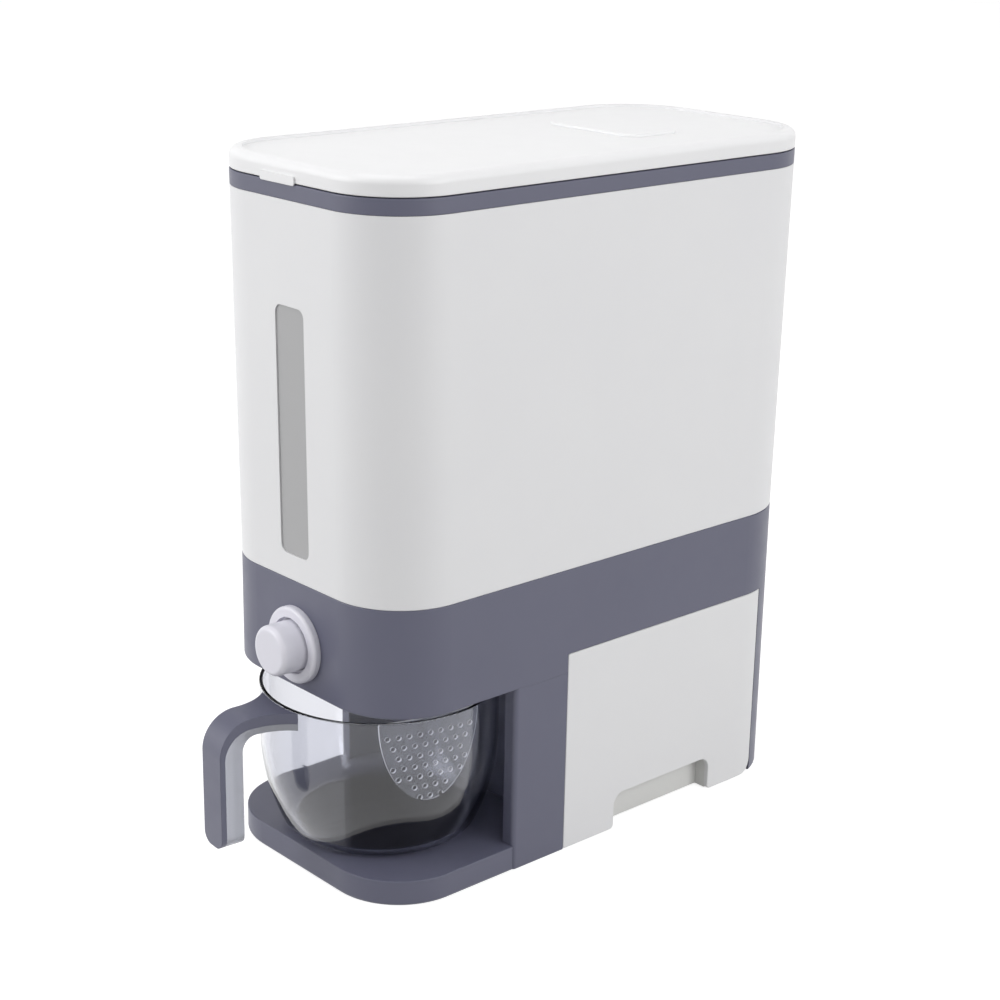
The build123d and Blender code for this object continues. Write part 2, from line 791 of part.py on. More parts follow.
ear_centre = lid_knuckle_width / 2 + ear_gap + ear_width / 2
ear_root = top_depth / 2 - overlap
with BuildPart() as collar:
    taper_block(collar_bottom, collar_top, 0)
    break_outline(collar, collar_bottom)
    break_outline(collar, collar_top)
    taper_block(collar_bottom, collar_top, collar_inset, Mode.SUBTRACT)
    taper_block(collar_bottom - collar_skirt_height, collar_bottom + overlap, shell_wall + running_gap)
    taper_block(
        collar_bottom - collar_skirt_height,
        collar_bottom + overlap,
        shell_wall + running_gap + collar_skirt_wall,
        Mode.SUBTRACT,
    )
    for side in (-1, 1):
        hinge_block(
            ear_width,
            side * ear_centre,
            [(ear_root, collar_bottom), (ear_root, collar_top), (hinge_y + hinge_barrel_radius, hinge_z),
             (hinge_y + hinge_barrel_radius * 0.7, hinge_z - hinge_barrel_radius * 0.7)],
        )
    hinge_bore()
save(collar, "collar")

# Lid: rounded border, recessed panel, plug skirt, pull tab, hinge knuckle and desiccant opening
panel_top_z = lid_top - lid_recess
panel_bottom_z = panel_top_z - lid_wall
opening_width = pad_width - 2 * basket_border
opening_length = pad_length - 2 * basket_border
tab_root = -top_depth / 2 + lid_wall
with BuildPart() as lid:
    straight_block(lid_bottom, lid_top, top_depth, 0)
    fillet(lid.faces().sort_by(Axis.Z)[-1].edges(), radius=lid_edge_radius)
    fillet(lid.faces().sort_by(Axis.Z)[0].edges(), radius=edge_break)
    straight_block(lid_bottom, panel_bottom_z, top_depth, lid_wall + lid_edge_radius / 2, Mode.SUBTRACT)
    with BuildSketch(Plane.XY.offset(panel_top_z)):
        body_outline(top_depth, lid_border)
    extrude(amount=lid_recess, mode=Mode.SUBTRACT)
    # plug skirt that drops into the collar
    with BuildSketch(Plane.XY.offset(collar_top - plug_depth)):
        body_outline(top_depth, plug_inset)
        body_outline(top_depth, plug_inset + plug_wall, Mode.SUBTRACT)
    extrude(amount=panel_bottom_z + overlap - (collar_top - plug_depth))
    # pull tab on the front edge
    with BuildSketch(Plane.XZ.offset(-tab_root)):
        with Locations((tab_centre, lid_bottom - tab_drop + tab_height / 2)):
            RectangleRounded(tab_width, tab_height, tab_radius)
    extrude(amount=lid_wall + tab_reach)
    box_between(
        (-tab_width, -top_depth / 2 - running_gap, collar_top - tab_drop - overlap),
        (tab_width, tab_root + overlap, lid_bottom),
    )
    # hinge knuckle
    hinge_block(
        lid_knuckle_width,
        0,
        [(ear_root, lid_bottom + overlap), (ear_root, lid_top - lid_edge_radius),
         (hinge_y, hinge_z + hinge_barrel_radius), (hinge_y, hinge_z)],
    )
    hinge_bore()
    # opening of the desiccant basket
    with BuildSketch(Plane.XY.offset(collar_top)):
        with Locations((0, pad_centre)):
            RectangleRounded(opening_width, opening_length, pad_corner - basket_border)
    extrude(amount=2 * lid_height, mode=Mode.SUBTRACT)
save(lid, "lid")

# Soft seal round the lid's plug
seal_top = collar_top - running_gap
with BuildPart() as lid_seal:
    with BuildSketch(Plane.XY.offset(seal_top - seal_height)):
        body_outline(top_depth, collar_inset + running_gap)
        body_outline(top_depth, plug_inset - pin_clearance, Mode.SUBTRACT)
    extrude(amount=seal_height)
save(lid_seal, "lid_seal")

# Steel pin of the lid hinge
with BuildPart() as hinge_pin:
    with BuildSketch(Plane.YZ.offset(-ear_centre - ear_width / 2)):
        with Locations((hinge_y, hinge_z)):
            Circle(hinge_pin_radius)
    extrude(amount=2 * ear_centre + ear_width)
save(hinge_pin, "hinge_pin")

# Basket for a desiccant sachet, hung in the lid's opening
basket_top = panel_top_z + basket_flange_thickness
with BuildPart() as desiccant_basket:
    with BuildSketch(Plane.XY.offset(panel_top_z)):
        with Locations((0, pad_centre)):
            RectangleRounded(
                opening_width + 2 * basket_flange,
                opening_length + 2 * basket_flange,
                pad_corner - basket_border + basket_flange,
            )
    extrude(amount=basket_flange_thickness)
    with BuildSketch(Plane.XY.offset(basket_top - basket_depth)):
        with Locations((0, pad_centre)):
            RectangleRounded(
                opening_width - 2 * running_gap,
                opening_length - 2 * running_gap,
                pad_corner - basket_border - running_gap,
            )
    extrude(amount=basket_depth)
    with BuildSketch(Plane.XY.offset(basket_top - basket_depth + basket_wall)):
        with Locations((0, pad_centre)):
            RectangleRounded(
                opening_width - 2 * running_gap - 2 * basket_wall,
                opening_length - 2 * running_gap - 2 * basket_wall,
                pad_corner - basket_border - basket_wall,
            )
    extrude(amount=basket_depth, mode=Mode.SUBTRACT)
    slot_pitch = (opening_width - 2 * pad_corner) / basket_slots
    with BuildSketch(Plane.XY.offset(basket_top - basket_depth)):
        with Locations((0, pad_centre)):
            with GridLocations(slot_pitch, 1, basket_slots, 1):
                SlotOverall(opening_length - 2 * pad_corner, basket_slot_width, rotation=90)
    extrude(amount=basket_wall, mode=Mode.SUBTRACT)
save(desiccant_basket, "desiccant_basket")

# Raised cover of the basket, which lifts off
with BuildPart() as desiccant_cover:
    with BuildSketch(Plane.XY.offset(panel_top_z)):
        with Locations((0, pad_centre)):
            RectangleRounded(pad_width, pad_length, pad_corner)
    extrude(amount=pad_height)
    fillet(desiccant_cover.faces().sort_by(Axis.Z)[-1].edges(), radius=pad_edge_radius)
    with BuildSketch(Plane.XY.offset(panel_top_z)):
        with Locations((0, pad_centre)):
            RectangleRounded(
                opening_width + 2 * (basket_flange + running_gap),
                opening_length + 2 * (basket_flange + running_gap),
                pad_corner - basket_border + basket_flange + running_gap,
            )
    extrude(amount=basket_flange_thickness, mode=Mode.SUBTRACT)
    with BuildSketch(Plane.XY.offset(basket_top - plug_lip)):
        with Locations((0, pad_centre)):
            RectangleRounded(
                opening_width - 4 * running_gap - 2 * basket_wall,
                opening_length - 4 * running_gap - 2 * basket_wall,
                pad_corner - basket_border - basket_wall - running_gap,
            )
    extrude(amount=plug_lip)
save(desiccant_cover, "desiccant_cover")

# Drawer front: a panel that follows the body's outline round the start of the rear corner
with BuildPart() as drawer_front:
    with BuildSketch(Plane.XY.offset(drawer_panel_bottom)):
        body_outline(base_depth, 0)
        body_outline(base_depth, drawer_panel_thickness, Mode.SUBTRACT)
        with Locations((outer_x, notch_middle)):
            Rectangle(body_width, drawer_rear_edge - drawer_front_edge, mode=Mode.INTERSECT)
    extrude(amount=drawer_panel_height)
    # one large corner at the lower rear, small ones at the front edge
    corners = drawer_front.edges().filter_by(Axis.X)
    fillet(corners.group_by(Axis.Y)[0], radius=drawer_panel_radius)
    rear_corners = drawer_front.edges().group_by(Axis.Y)[-1]
    fillet(rear_corners.group_by(Axis.Z)[0], radius=drawer_panel_rear_radius)
    # finger notch in the lower edge
    with BuildSketch(Plane.YZ.offset(panel_inner - drawer_panel_thickness)):
        with Locations((notch_middle, notch_top - notch_height)):
            RectangleRounded(notch_width, 2 * notch_height, notch_radius)
    extrude(amount=3 * drawer_panel_thickness, mode=Mode.SUBTRACT)
    mouth_edges = drawer_front.edges().filter_by(Axis.X).filter_by(
        lambda edge: abs(abs(edge.center().Y - notch_middle) - notch_width / 2) < pin_clearance
        and edge.center().Z < drawer_panel_bottom + notch_radius
    )
    fillet(mouth_edges, radius=notch_mouth_radius)
    # softened outer edges all round the face
    face_edges = drawer_front.faces().filter_by(Plane.YZ).sort_by(Axis.X)[-1].edges()
    fillet(face_edges, radius=edge_break)
    # pilot holes for the drawer's screws
    with BuildSketch(Plane.YZ.offset(panel_inner)):
        with Locations((notch_middle, panel_top / 2 + notch_height)):
            with GridLocations(drawer_screw_spacing, 1, 2, 1):
                Circle(drawer_screw_radius)
    extrude(amount=drawer_screw_length - drawer_box_wall + drawer_screw_tip_gap, mode=Mode.SUBTRACT)
save(drawer_front, "drawer_front")

# Drawer box, with the alcove behind the finger notch
runner_top = pan_top + runner_height
box_bottom = runner_top + running_gap
box_top = box_bottom + drawer_box_height
box_front_y = drawer_front_edge + drawer_side_gap
box_rear_y = base_depth / 2 - rear_radius
box_left = -outer_x + housing_wall + drawer_back_gap
box_right = panel_inner
alcove_left = outer_x - notch_depth
with BuildPart() as drawer_box:
    box_between((box_left, box_front_y, box_bottom), (box_right, box_rear_y, box_top), Mode.ADD)
    box_between(
        (box_left + drawer_box_wall, box_front_y + drawer_box_wall, box_bottom + drawer_box_wall),
        (box_right - drawer_box_wall, box_rear_y - drawer_box_wall, box_top),
    )
    box_between(
        (
            alcove_left - drawer_box_wall,
            notch_middle - notch_width / 2 - drawer_box_wall,
            notch_wall_bottom,
        ),
        (box_right, notch_middle + notch_width / 2 + drawer_box_wall, notch_top + drawer_box_wall),
        Mode.ADD,
    )
    box_between(
        (alcove_left, notch_middle - notch_width / 2, notch_wall_bottom),
        (box_right, notch_middle + notch_width / 2, notch_top),
    )
    with BuildSketch(Plane.YZ.offset(box_right)):
        with Locations((notch_middle, panel_top / 2 + notch_height)):
            with GridLocations(drawer_screw_spacing, 1, 2, 1):
                Circle(drawer_screw_radius + running_gap)
    extrude(amount=-drawer_box_wall, mode=Mode.SUBTRACT)
save(drawer_box, "drawer_box")

# Two screws from inside the box into the drawer front
with BuildPart() as drawer_screws:
    with BuildSketch(Plane.YZ.offset(box_right - drawer_box_wall)):
        with Locations((notch_middle, panel_top / 2 + notch_height)):
            with GridLocations(drawer_screw_spacing, 1, 2, 1):
                Circle(screw_head_radius)
    extrude(amount=-screw_head_height)
    with BuildSketch(Plane.YZ.offset(box_right - drawer_box_wall)):
        with Locations((notch_middle, panel_top / 2 + notch_height)):
            with GridLocations(drawer_screw_spacing, 1, 2, 1):
                Circle(drawer_screw_radius - pin_clearance)
    extrude(amount=drawer_screw_length)
save(drawer_screws, "drawer_screws")

# Two runners under the drawer's sides
with BuildPart() as drawer_runners:
    for runner_y in (box_front_y, box_rear_y - runner_width):
        box_between(
            (box_left, runner_y, pan_top),
            (panel_inner - 2 * drawer_panel_thickness, runner_y + runner_width, runner_top),
            Mode.ADD,
        )
save(drawer_runners, "drawer_runners")

# Washing bowl
bowl_plane = Plane(origin=(0, bowl_y, platform_top), x_dir=(1, 0, 0), z_dir=(0, -1, 0))
bowl_axis = Axis((0, bowl_y, 0), (0, 0, 1))


def bowl_section(inset):
    # Half of the bowl in section, pulled in from the outer face by the inset.
    shoulder = (bowl_radius - inset, bowl_straight)
    knee = (knee_radius - inset, knee_height + inset)
    foot = (bowl_foot_radius - inset, inset)
    with BuildLine() as outline:
        side = TangentArc(shoulder, knee, tangent=(0, -1))
        TangentArc(knee, foot, tangent=side % 1)
        Polyline(foot, (0, inset), (0, bowl_height), (bowl_radius - inset, bowl_height), shoulder)
    make_face(outline.edges())


def hook_path(arm_depth, grip_depth, radius):
    # One face of the hooked handle from its side, at its depths under the arm's top and the grip's front.
    top = platform_top + bowl_height - handle_drop - arm_depth
    front = handle_reach - grip_depth
    bend = (front - radius, top)
    grip = (front, top - radius)
    Line((bowl_radius - bowl_wall, top), bend)
    TangentArc(bend, grip, tangent=(1, 0))
    Line(grip, (front, platform_top + handle_bottom))


def hook_section(near, far):
    # The band between two such faces.
    top = platform_top + bowl_height - handle_drop
    root = bowl_radius - bowl_wall
    bottom = platform_top + handle_bottom
    with BuildLine() as outline:
        hook_path(*near)
        hook_path(*far)
        Line((root, top - near[0]), (root, top - far[0]))
        Line((handle_reach - near[1], bottom), (handle_reach - far[1], bottom))
    make_face(outline.edges())


def hook_plan():
    # The handle from above: flaring from its straight part to its root at the bowl.
    root = bowl_radius - bowl_wall - overlap
    neck = root + flare_length
    tip = handle_reach + overlap
    half = handle_width / 2
    root_half = handle_root_width / 2
    with BuildLine() as outline:
        Line((root, -root_half), (root, root_half))
        TangentArc((neck, half), (root, root_half), tangent=(-1, 0))
        Polyline((neck, half), (tip, half), (tip, -half), (neck, -half))
        TangentArc((neck, -half), (root, -root_half), tangent=(-1, 0))
    make_face(outline.edges())


def hook_block(near, far):
    # The handle's band, trimmed to its plan and to its rounded lower end.
    with BuildSketch(handle_side) as side_view:
        hook_section(near, far)
    extrude(side_view.sketch, amount=handle_root_width / 2, both=True)
    with BuildSketch(handle_plan) as plan:
        hook_plan()
    extrude(plan.sketch, amount=collar_top, mode=Mode.INTERSECT)
    with BuildSketch(handle_front) as front_view:
        with Locations((0, platform_top + handle_bottom + bowl_height / 2)):
            RectangleRounded(handle_width, bowl_height, handle_end_radius)
        with Locations((0, platform_top + bowl_height)):
            Rectangle(handle_root_width, 2 * handle_arm_thickness + 2 * handle_drop)
    extrude(front_view.sketch, amount=wide, mode=Mode.INTERSECT)


outer_face = (0, 0, handle_bend_radius)
cover_face = (cover_arm_thickness, cover_grip_thickness, cover_bend_radius)
inner_face = (handle_arm_thickness, handle_grip_thickness, inner_bend_radius)
heading_angle = math.radians(bowl_turn - 90)
handle_heading = Vector(math.cos(heading_angle), math.sin(heading_angle), 0)
bowl_foot_centre = Vector(0, bowl_y, 0)
handle_plan = Plane(origin=bowl_foot_centre, x_dir=handle_heading, z_dir=(0, 0, 1))
handle_side = Plane(origin=bowl_foot_centre, x_dir=handle_heading, z_dir=handle_heading.cross(Vector(0, 0, 1)))
handle_front = Plane(origin=bowl_foot_centre, x_dir=Vector(0, 0, 1).cross(handle_heading), z_dir=handle_heading)

# Clear core of the handle, welded to the bowl's wall
with BuildPart() as handle_core:
    hook_block(cover_face, inner_face)
    with BuildSketch(Plane.XY.offset(platform_top)):
        with Locations((0, bowl_y)):
            Circle(bowl_radius)
    extrude(amount=bowl_height, mode=Mode.SUBTRACT)
save(handle_core, "handle_core")

# Washing bowl
with BuildPart() as bowl:
    with BuildSketch(bowl_plane):
        bowl_section(0)
    revolve(axis=bowl_axis)
    with BuildSketch(bowl_plane):
        bowl_section(bowl_wall)
    revolve(axis=bowl_axis, mode=Mode.SUBTRACT)
    rim_edges = bowl.edges().filter_by_position(Axis.Z, platform_top + bowl_height, platform_top + bowl_height)
    fillet(rim_edges, radius=edge_break)
save(bowl, "bowl")

# Grey cover clipped over the handle
with BuildPart() as handle_cover:
    hook_block(outer_face, cover_face)
    with BuildSketch(Plane.XY.offset(platform_top)):
        with Locations((0, bowl_y)):
            Circle(bowl_radius + running_gap)
    extrude(amount=bowl_height, mode=Mode.SUBTRACT)
save(handle_cover, "handle_cover")

# Strainer: a curved perforated wall across one side of the bowl
strainer_heading = Vector(
    math.cos(math.radians(strainer_angle)), math.sin(math.radians(strainer_angle)), 0
)
strainer_centre = Vector(0, bowl_y, 0) + strainer_heading * (strainer_distance - strainer_radius)
strainer_face = Plane(
    origin=Vector(0, bowl_y, platform_top + bowl_height) + strainer_heading * (strainer_distance / 2),
    x_dir=(0, 0, 1),
    z_dir=strainer_heading,
)
strainer_rows = int((strainer_depth - strainer_first_row) / strainer_row_pitch) + 1
with BuildPart() as strainer:
    with BuildSketch(Plane.XY.offset(platform_top)):
        with Locations((strainer_centre.X, strainer_centre.Y)):
            Circle(strainer_radius + strainer_thickness)
            Circle(strainer_radius, mode=Mode.SUBTRACT)
    extrude(amount=bowl_height - strainer_top_drop)
    with BuildSketch(bowl_plane):
        bowl_section(bowl_wall + running_gap / 2)
    revolve(axis=bowl_axis, mode=Mode.INTERSECT)
    with BuildSketch(strainer_face):
        Ellipse(strainer_depth, strainer_half_width)
    extrude(amount=strainer_distance, mode=Mode.INTERSECT)
    with BuildSketch(strainer_face):
        for row in range(strainer_rows):
            drop = strainer_first_row + row * strainer_row_pitch
            half = strainer_half_width * math.sqrt(max(0.0, 1 - (drop / strainer_depth) ** 2)) - strainer_margin
            shift = 0.5 * (row % 2)
            count = int(half / strainer_pitch) + 1
            for column in range(-count, count + 1):
                across = (column + shift) * strainer_pitch
                if abs(across) <= half:
                    with Locations((-drop, across)):
                        Circle(strainer_hole_radius)
    extrude(amount=strainer_distance, mode=Mode.SUBTRACT)
save(strainer, "strainer")
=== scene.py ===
import math

import bpy
from mathutils import Matrix, Vector


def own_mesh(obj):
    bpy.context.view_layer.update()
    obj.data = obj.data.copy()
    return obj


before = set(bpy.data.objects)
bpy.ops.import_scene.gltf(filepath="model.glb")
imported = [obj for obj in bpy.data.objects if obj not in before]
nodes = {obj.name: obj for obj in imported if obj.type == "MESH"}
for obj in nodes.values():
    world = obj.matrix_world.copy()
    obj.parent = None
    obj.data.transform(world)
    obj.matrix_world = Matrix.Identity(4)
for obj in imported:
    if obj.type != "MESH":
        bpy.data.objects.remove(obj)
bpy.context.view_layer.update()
print("frame loaded", len(nodes))

mmPerMetre = 1000
white = (1, 1, 1, 1)


def linearColour(code):
    # sRGB hex to the linear values that shader sockets take
    channels = [int(code[i:i + 2], 16) / 255 for i in (1, 3, 5)]
    return [c / 12.92 if c <= 0.04045 else ((c + 0.055) / 1.055) ** 2.4 for c in channels] + [1.0]


def addNode(tree, kind, values=None, links=None):
    # one node: its values and its links go to sockets by name or number, other values are settings
    node = tree.nodes.new(kind)
    for key, value in (values or {}).items():
        if isinstance(key, int) or key in node.inputs:
            node.inputs[key].default_value = value
        else:
            setattr(node, key, value)
    for key, source in (links or {}).items():
        tree.links.new(source, node.inputs[key])
    return node


def newMaterial(name):
    material = bpy.data.materials.new(name)
    material.use_nodes = True
    material.node_tree.nodes.clear()
    return material, material.node_tree


# what all opaque mouldings share: colour drift and sheen from the flow of the melt, eroded grain,
# and edges that the tool leaves a little round
moulding = {"driftMm": 60, "sheenMm": 14, "sheenRange": (0.3, 0.7), "grainStrength": 0.6, "ior": 1.5,
            "edgeMm": 0.6, "edgeSamples": 4}


def plastic(name, look):
    material, tree = newMaterial(name)
    coords = addNode(tree, "ShaderNodeTexCoord").outputs["Object"]
    drift = addNode(tree, "ShaderNodeTexNoise", {"Scale": mmPerMetre / moulding["driftMm"], "Detail": 3.0},
                    {"Vector": coords})
    colour = addNode(tree, "ShaderNodeMix",
                     {"data_type": "RGBA", 6: linearColour(look["colour"]), 7: linearColour(look["deep"])},
                     {0: drift.outputs["Fac"]})
    sheen = addNode(tree, "ShaderNodeTexNoise", {"Scale": mmPerMetre / moulding["sheenMm"], "Detail": 4.0},
                    {"Vector": coords})
    low, high = moulding["sheenRange"]
    gloss = addNode(tree, "ShaderNodeMapRange",
                    {"From Min": low, "From Max": high,
                     "To Min": look["rough"] - look["roughSpread"],
                     "To Max": look["rough"] + look["roughSpread"]},
                    {"Value": sheen.outputs["Fac"]})
    grain = addNode(tree, "ShaderNodeTexNoise",
                    {"Scale": mmPerMetre / look["grainMm"], "Detail": 3.0, "Roughness": 0.6},
                    {"Vector": coords})
    edge = addNode(tree, "ShaderNodeBevel",
                   {"samples": moulding["edgeSamples"], "Radius": moulding["edgeMm"] / mmPerMetre})
    bump = addNode(tree, "ShaderNodeBump",
                   {"Strength": moulding["grainStrength"], "Distance": look["grainDepthMm"] / mmPerMetre},
                   {"Height": grain.outputs["Fac"], "Normal": edge.outputs["Normal"]})
    shader = addNode(tree, "ShaderNodeBsdfPrincipled", {"IOR": moulding["ior"]},
                     {"Base Color": colour.outputs[2], "Roughness": gloss.outputs["Result"],
                      "Normal": bump.outputs["Normal"]})
    addNode(tree, "ShaderNodeOutputMaterial", {}, {"Surface": shader.outputs["BSDF"]})
    return material


# what all clear mouldings share: a faint ripple, and a smear of wear in their gloss
clearMoulding = {"smearMm": 25, "smearRange": (0.35, 0.75), "smearSpread": 0.05, "rippleStrength": 0.5}


def clearPlastic(name, look):
    material, tree = newMaterial(name)
    coords = addNode(tree, "ShaderNodeTexCoord").outputs["Object"]
    ripple = addNode(tree, "ShaderNodeTexNoise", {"Scale": mmPerMetre / look["rippleMm"], "Detail": 1.0},
                     {"Vector": coords})
    bump = addNode(tree, "ShaderNodeBump",
                   {"Strength": clearMoulding["rippleStrength"],
                    "Distance": look["rippleDepthMm"] / mmPerMetre},
                   {"Height": ripple.outputs["Fac"]})
    smear = addNode(tree, "ShaderNodeTexNoise",
                    {"Scale": mmPerMetre / clearMoulding["smearMm"], "Detail": 3.0}, {"Vector": coords})
    low, high = clearMoulding["smearRange"]
    gloss = addNode(tree, "ShaderNodeMapRange",
                    {"From Min": low, "From Max": high, "To Min": look["rough"],
                     "To Max": look["rough"] + clearMoulding["smearSpread"]},
                    {"Value": smear.outputs["Fac"]})
    shader = addNode(tree, "ShaderNodeBsdfPrincipled",
                     {"Base Color": linearColour(look["colour"]), "IOR": look["ior"],
                      "Transmission Weight": look["transmission"], "Specular IOR Level": look["specular"]},
                     {"Roughness": gloss.outputs["Result"], "Normal": bump.outputs["Normal"]})
    addNode(tree, "ShaderNodeOutputMaterial", {}, {"Surface": shader.outputs["BSDF"]})
    return material


# satin ABS from a spark-eroded tool: soft highlights, no clear reflections
greyAbs = plastic("greyAbs", {"colour": "#5D5E70", "deep": "#58596B", "rough": 0.42, "roughSpread": 0.04,
                              "grainMm": 0.7, "grainDepthMm": 0.02})
whiteAbs = plastic("whiteAbs", {"colour": "#E3E3E4", "deep": "#DFDFE1", "rough": 0.40, "roughSpread": 0.04,
                                "grainMm": 0.8, "grainDepthMm": 0.015})
# polypropylene from a smoother tool: a brighter, slightly glossier lid
lidPp = plastic("lidPp", {"colour": "#E9E9EA", "deep": "#E6E6E7", "rough": 0.36, "roughSpread": 0.03,
                          "grainMm": 0.8, "grainDepthMm": 0.01})
# ABS from a nearly polished tool: a cool white with a small soft highlight
buttonAbs = plastic("buttonAbs", {"colour": "#DEDDE6", "deep": "#DAD9E2", "rough": 0.32, "roughSpread": 0.03,
                                  "grainMm": 0.6, "grainDepthMm": 0.008})
# plain natural polypropylene of the hidden mouldings: dull and a little warm
innerPp = plastic("innerPp", {"colour": "#DCDCDA", "deep": "#D6D6D4", "rough": 0.5, "roughSpread": 0.05,
                              "grainMm": 1.0, "grainDepthMm": 0.02})
# moulded rubber: nearly black and without shine
footRubber = plastic("footRubber", {"colour": "#1E1E20", "deep": "#19191B", "rough": 0.75, "roughSpread": 0.05,
                                    "grainMm": 0.5, "grainDepthMm": 0.03})
# moulded silicone: pale grey and dull
sealSilicone = plastic("sealSilicone", {"colour": "#B9B9BB", "deep": "#B0B0B3", "rough": 0.6,
                                        "roughSpread": 0.04, "grainMm": 0.6, "grainDepthMm": 0.01})
# frosted styrene: lets some light in but shows nothing clearly
windowStyrene = clearPlastic("windowStyrene", {"colour": "#B6B6B7", "rough": 0.35, "ior": 1.5,
                                               "rippleMm": 2.0, "rippleDepthMm": 0.02,
                                               "transmission": 0.2, "specular": 0.5})
# polished styrene: clear, with strong reflections off the bowl's wall and floor
bowlStyrene = clearPlastic("bowlStyrene", {"colour": "#E4E5EB", "rough": 0.02, "ior": 1.49,
                                           "rippleMm": 30, "rippleDepthMm": 0.03,
                                           "transmission": 1.0, "specular": 1.0})
# the same styrene in a thick bar: milky and streaked, because it catches light along its length
coreStyrene = clearPlastic("coreStyrene", {"colour": "#C0C2CC", "rough": 0.08, "ior": 1.49,
                                           "rippleMm": 8, "rippleDepthMm": 0.15,
                                           "transmission": 0.5, "specular": 0.5})

# styrene sheet: clear on its faces, and white at the holes and the rim, where the cut edges carry a painted
# highlight: a faint glow though they are no lamp
strainerLook = {"colour": "#E4E7EE", "edgeColour": "#F2F3F8", "rough": 0.05, "ior": 1.49,
                "transmission": 0.93, "smearMm": 18, "smearRange": (0.35, 0.75), "smearSpread": 0.08,
                "edgeRough": 0.25, "paintedEdgeGlow": 0.15, "turnDegrees": -12, "faceFrom": 0.75, "edgeFrom": 0.55}
strainerTurn = math.radians(strainerLook["turnDegrees"])
strainerStyrene, tree = newMaterial("strainerStyrene")
smear = addNode(tree, "ShaderNodeTexNoise",
                {"Scale": mmPerMetre / strainerLook["smearMm"], "Detail": 3.0},
                {"Vector": addNode(tree, "ShaderNodeTexCoord").outputs["Object"]})
low, high = strainerLook["smearRange"]
gloss = addNode(tree, "ShaderNodeMapRange",
                {"From Min": low, "From Max": high, "To Min": strainerLook["rough"],
                 "To Max": strainerLook["rough"] + strainerLook["smearSpread"]},
                {"Value": smear.outputs["Fac"]})
sheet = addNode(tree, "ShaderNodeBsdfPrincipled",
                {"Base Color": linearColour(strainerLook["colour"]), "IOR": strainerLook["ior"],
                 "Transmission Weight": strainerLook["transmission"]},
                {"Roughness": gloss.outputs["Result"]})
# the cut edges glow a little: a painted highlight on the holes and the rim
edge = addNode(tree, "ShaderNodeBsdfPrincipled",
               {"Base Color": linearColour(strainerLook["edgeColour"]), "IOR": strainerLook["ior"],
                "Roughness": strainerLook["edgeRough"],
                "Emission Color": linearColour(strainerLook["edgeColour"]),
                "Emission Strength": strainerLook["paintedEdgeGlow"]})
# a face that doesn't point along the sheet's own normal is an edge
facing = addNode(tree, "ShaderNodeVectorMath",
                 {"operation": "DOT_PRODUCT", 1: (math.cos(strainerTurn), math.sin(strainerTurn), 0)},
                 {0: addNode(tree, "ShaderNodeNewGeometry").outputs["True Normal"]})
along = addNode(tree, "ShaderNodeMath", {"operation": "ABSOLUTE"}, {0: facing.outputs["Value"]})
share = addNode(tree, "ShaderNodeMapRange",
                {"From Min": strainerLook["faceFrom"], "From Max": strainerLook["edgeFrom"],
                 "To Min": 0.0, "To Max": 1.0},
                {"Value": along.outputs["Value"]})
both = addNode(tree, "ShaderNodeMixShader", {},
               {"Fac": share.outputs["Result"], 1: sheet.outputs["BSDF"], 2: edge.outputs["BSDF"]})
addNode(tree, "ShaderNodeOutputMaterial", {}, {"Surface": both.outputs["Shader"]})

# bright drawn steel of the screws, the pin and the spring: fine lines blur its reflections
steelLook = {"colour": "#C4C5C8", "brushMm": 0.3, "smoothest": 0.20, "roughest": 0.40}
brightSteel, tree = newMaterial("brightSteel")
lines = addNode(tree, "ShaderNodeTexNoise", {"Scale": mmPerMetre / steelLook["brushMm"], "Detail": 2.0},
                {"Vector": addNode(tree, "ShaderNodeTexCoord").outputs["Object"]})
gloss = addNode(tree, "ShaderNodeMapRange",
                {"To Min": steelLook["smoothest"], "To Max": steelLook["roughest"]},
                {"Value": lines.outputs["Fac"]})
shader = addNode(tree, "ShaderNodeBsdfPrincipled",
                 {"Base Color": linearColour(steelLook["colour"]), "Metallic": 1.0},
                 {"Roughness": gloss.outputs["Result"]})
addNode(tree, "ShaderNodeOutputMaterial", {}, {"Surface": shader.outputs["BSDF"]})

finishes = {
    "base_housing": greyAbs, "base_column": greyAbs, "base_plate": greyAbs, "collar": greyAbs,
    "handle_cover": greyAbs,
    "outer_shell": whiteAbs, "drawer_front": whiteAbs, "lid": lidPp, "desiccant_cover": lidPp,
    "button_cap": buttonAbs, "button_bezel": buttonAbs,
    "hopper_funnel": innerPp, "gate_body": innerPp, "gate_cover": innerPp, "metering_slide": innerPp,
    "spring_bracket": innerPp, "desiccant_basket": innerPp, "drawer_box": innerPp,
    "drawer_runners": innerPp,
    "window_strip": windowStyrene, "bowl": bowlStyrene, "handle_core": coreStyrene,
    "strainer": strainerStyrene,
    "rubber_feet": footRubber, "lid_seal": sealSilicone,
    "base_screws": brightSteel, "gate_screws": brightSteel, "drawer_screws": brightSteel,
    "hinge_pin": brightSteel, "return_spring": brightSteel,
}
for name, material in finishes.items():
    piece = nodes[name]
    piece.data.materials.clear()
    piece.data.materials.append(material)
print("materials set", len(finishes))

# the return spring, which is pressed together towards its bracket as the button goes in, gets a mesh of its
# own
spring = nodes["return_spring"]
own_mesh(spring)

